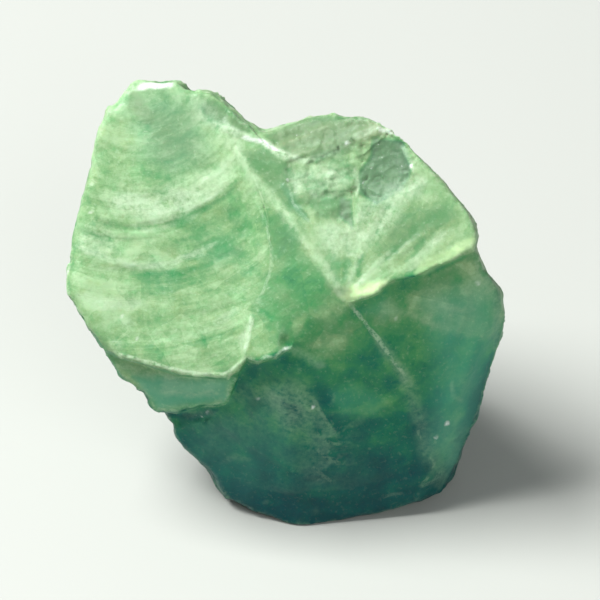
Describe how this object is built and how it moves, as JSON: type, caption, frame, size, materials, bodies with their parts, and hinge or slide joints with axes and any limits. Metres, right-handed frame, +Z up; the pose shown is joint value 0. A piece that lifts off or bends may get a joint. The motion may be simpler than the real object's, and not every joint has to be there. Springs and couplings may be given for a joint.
{
  "type": "rough fluorite chunk",
  "caption": "Rough broken chunk of translucent green-to-teal fluorite with curved fracture scars, ledges and a ragged rim, resting on a flat base.",
  "frame": {"origin": "centre of the bounding box, at the level of the flat base", "axes": "+Z up, -Y out of the front with the light green upper scars, +X to the right of someone facing that front"},
  "size_m": [0.0436, 0.0266, 0.039],
  "materials": {
    "fluorite": "translucent, satin to glassy broken faces, light green above and teal below"
  },
  "bodies": {
    "root": {"fluorite_chunk": "fluorite"}
  },
  "joints": []
}
